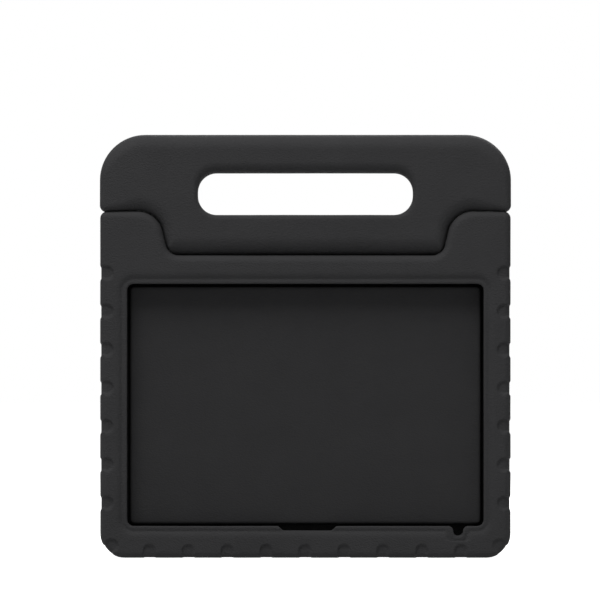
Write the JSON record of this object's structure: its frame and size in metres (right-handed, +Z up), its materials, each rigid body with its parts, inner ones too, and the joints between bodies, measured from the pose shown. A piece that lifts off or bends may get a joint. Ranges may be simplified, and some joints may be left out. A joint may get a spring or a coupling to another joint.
{
  "type": "tablet case with folding carry handle",
  "caption": "Moulded foam tablet case with a screen window, grip recesses round its edge and a carry handle that folds back as a stand.",
  "frame": {"origin": "middle of the bottom edge, on the surface the case stands on, half way through its depth", "axes": "+X to the right seen from the screen side, +Y from the screen side to the back, +Z up towards the handle"},
  "size_m": [0.2168, 0.0204, 0.2231],
  "materials": {
    "charcoal_foam": "matte closed-cell foam with a fine leathery grain",
    "black_plastic": "plain moulded plastic"
  },
  "bodies": {
    "case": {"case_body": "charcoal_foam", "hinge_socket_left": "black_plastic", "hinge_socket_right": "black_plastic"},
    "handle": {"handle": "charcoal_foam", "hinge_peg_left": "black_plastic", "hinge_peg_right": "black_plastic"}
  },
  "joints": [
    {"name": "handle_fold", "type": "hinge", "parent": "case", "child": "handle", "pos_m": [0, 0, 0.1714], "axis": [-1, 0, 0], "range_deg": [0, 90]}
  ]
}
